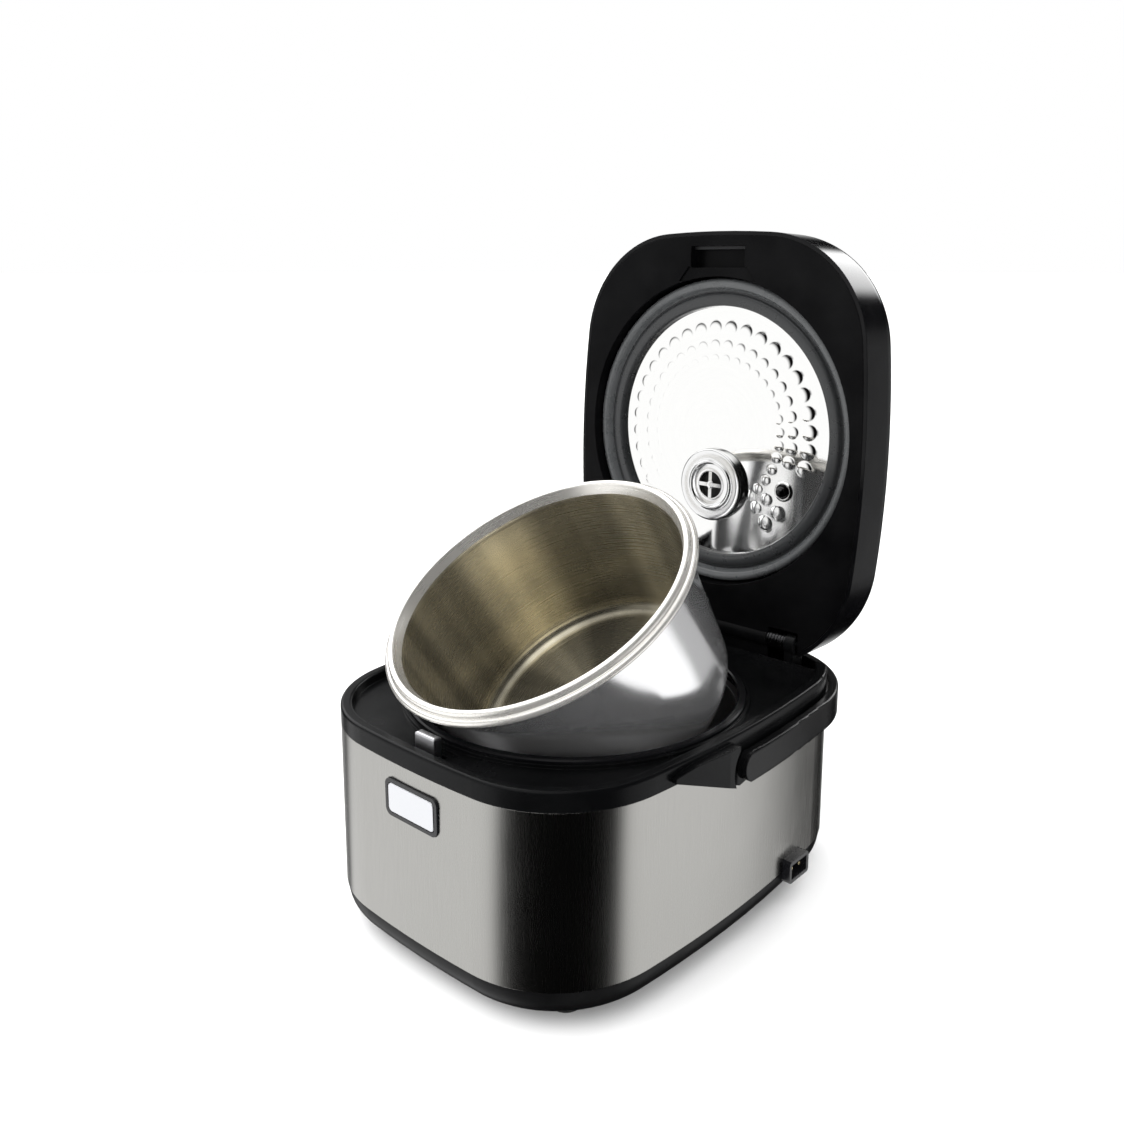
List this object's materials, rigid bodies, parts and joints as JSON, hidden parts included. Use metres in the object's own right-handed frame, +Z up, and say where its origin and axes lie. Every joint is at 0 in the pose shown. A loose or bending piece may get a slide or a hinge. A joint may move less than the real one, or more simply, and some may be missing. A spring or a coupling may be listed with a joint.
{
  "type": "rice cooker",
  "caption": "Rounded-box rice cooker with a steel-wrapped body, hinged lid held open and the steel inner pot leaning on the well's rim.",
  "frame": {"origin": "on the table, at the bottom centre of the whole open cooker", "axes": "+Z up; -Y towards the front, where the release button is; +X towards the user's right"},
  "size_m": [0.285, 0.3628, 0.4686],
  "materials": {
    "steel_wrap": "fine vertical brushing, satin",
    "black_base": "fine moulded texture",
    "foot_rubber": "matte",
    "screw_steel": "plated",
    "black_deck": "satin moulded black",
    "seat_ring": "satin",
    "well_alloy": "spun",
    "cast_alloy": "turned",
    "element_steel": "heat-tinted",
    "sensor_cap": "polished",
    "guide_plastic": "moulded",
    "spring_steel": "drawn wire",
    "circuit_board": "lacquered",
    "inlet_plastic": "moulded",
    "pin_brass": "plated",
    "bezel_black": "gloss",
    "silver_button": "satin silver lacquer",
    "silver_hook": "silver lacquer",
    "pin_steel": "ground",
    "handle_black": "satin moulded black",
    "gloss_black": "high gloss",
    "lid_black": "satin moulded black",
    "mirror_steel": "mirror polished",
    "grey_silicone": "soft satin",
    "vent_grey": "satin",
    "sensor_steel": "polished",
    "valve_black": "satin",
    "panel_black": "high gloss",
    "pot_steel": "brushed inside, polished outside"
  },
  "bodies": {
    "body": {"steel_wrap": "steel_wrap", "base_tray": "black_base", "rubber_feet": "foot_rubber", "base_screws": "screw_steel", "deck_frame": "black_deck", "well_liner": "well_alloy", "heating_plate": "cast_alloy", "heating_element": "element_steel", "sensor_guide": "guide_plastic", "sensor_spring": "spring_steel", "power_board": "circuit_board", "power_inlet": "inlet_plastic", "inlet_pins": "pin_brass", "button_bezel": "bezel_black", "latch_guide": "guide_plastic", "latch_spring": "spring_steel", "hinge_pin": "pin_steel", "hinge_springs": "spring_steel", "handle_pivots": "handle_black"},
    "lid": {"lid_cover": "gloss_black", "lid_liner": "lid_black", "lid_catch": "screw_steel", "inner_plate": "mirror_steel", "lid_gasket": "grey_silicone", "vent_cap": "vent_grey", "vent_seal": "grey_silicone", "lid_sensor": "sensor_steel", "touch_panel": "panel_black", "lid_control_board": "circuit_board", "lid_screws": "screw_steel"},
    "steam_valve": {"steam_valve": "valve_black"},
    "seat_ring": {"seat_ring": "seat_ring"},
    "pot": {"inner_pot": "pot_steel"},
    "sensor": {"thermostat_sensor": "sensor_cap"},
    "button": {"release_button": "silver_button"},
    "hook": {"latch_hook": "silver_hook"},
    "handle": {"carry_handle": "handle_black"}
  },
  "joints": [
    {"name": "lid_hinge", "type": "hinge", "parent": "body", "child": "lid", "pos_m": [0, 0.12487, 0.1588], "axis": [1, 0, 0], "range_deg": [0, 92], "stiffness_Nm_per_rad": 0.9, "springref_deg": -57.3},
    {"name": "seat_ring_turn", "type": "hinge", "parent": "body", "child": "seat_ring", "pos_m": [0, -0.02993, 0.1495], "axis": [0, 0, 1], "range_deg": [0, 180]},
    {"name": "pot_tilt", "type": "hinge", "parent": "seat_ring", "child": "pot", "pos_m": [-0.01779, -0.17484, 0.1293], "axis": [-0.9925, 0.1219, 0], "range_deg": [0, 31.5]},
    {"name": "sensor_press", "type": "slide", "parent": "body", "child": "sensor", "axis": [0, 0, -1], "range_m": [0, 0.0044], "deforming": ["sensor_spring"]},
    {"name": "button_press", "type": "slide", "parent": "body", "child": "button", "axis": [0, 1, 0], "range_m": [0, 0.0035], "stiffness_N_per_m": 400, "springref_m": -0.002},
    {"name": "hook_slide", "type": "slide", "parent": "body", "child": "hook", "axis": [0, 1, 0], "range_m": [0, 0.0035], "deforming": ["latch_spring"]},
    {"name": "valve_lift", "type": "slide", "parent": "lid", "child": "steam_valve", "axis": [0, 0.9994, -0.0349], "range_m": [0, 0.04]},
    {"name": "handle_swing", "type": "hinge", "parent": "body", "child": "handle", "pos_m": [0, -0.01843, 0.13175], "axis": [1, 0, 0], "range_deg": [0, 0.8]}
  ],
  "couplings": [
    {"joint": "seat_ring_turn", "follows": "lid_hinge", "ratio": 1.9565},
    {"joint": "pot_tilt", "follows": "lid_hinge", "ratio": 0.34239},
    {"joint": "sensor_press", "follows": "lid_hinge", "m_per_rad": 0.00274},
    {"joint": "hook_slide", "follows": "button_press", "ratio": 1}
  ]
}
